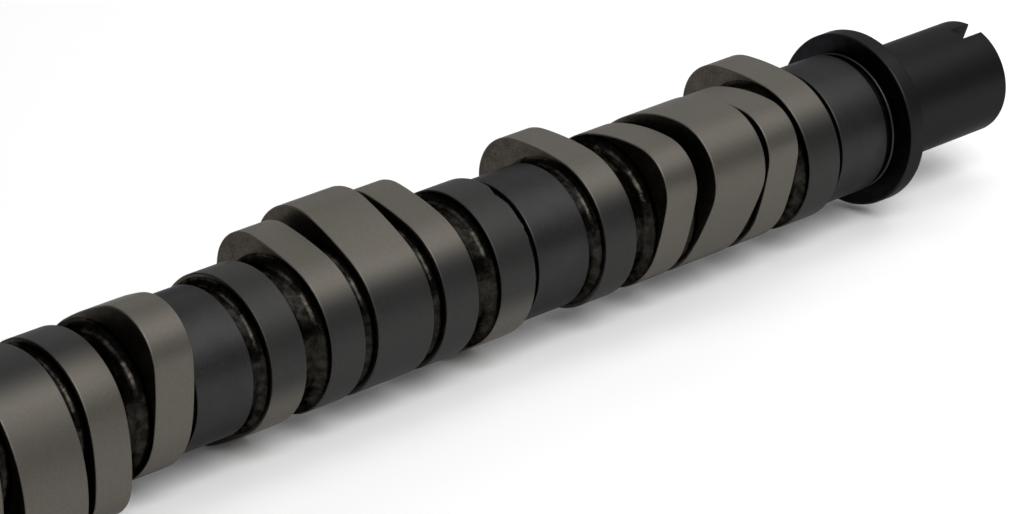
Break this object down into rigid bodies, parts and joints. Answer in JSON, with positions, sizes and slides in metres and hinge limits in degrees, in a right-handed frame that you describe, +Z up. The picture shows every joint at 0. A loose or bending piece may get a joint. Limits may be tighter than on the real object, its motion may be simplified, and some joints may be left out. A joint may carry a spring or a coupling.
{
  "type": "camshaft",
  "caption": "Cast overhead camshaft with ground lobes and journals, a thrust flange, a slotted drive spigot and a keyed pulley seat.",
  "frame": {"origin": "on the shaft axis at the outer face of the thrust flange, where the drive spigot begins", "axes": "+X along the shaft axis towards the slotted drive spigot, +Z up with the shaft lying at rest on its lobes"},
  "size_m": [0.4215, 0.0386, 0.0386],
  "materials": {
    "camshaft": "ground satin lobes and journals over as-cast dark iron"
  },
  "bodies": {
    "root": {"camshaft": "camshaft"}
  },
  "joints": []
}
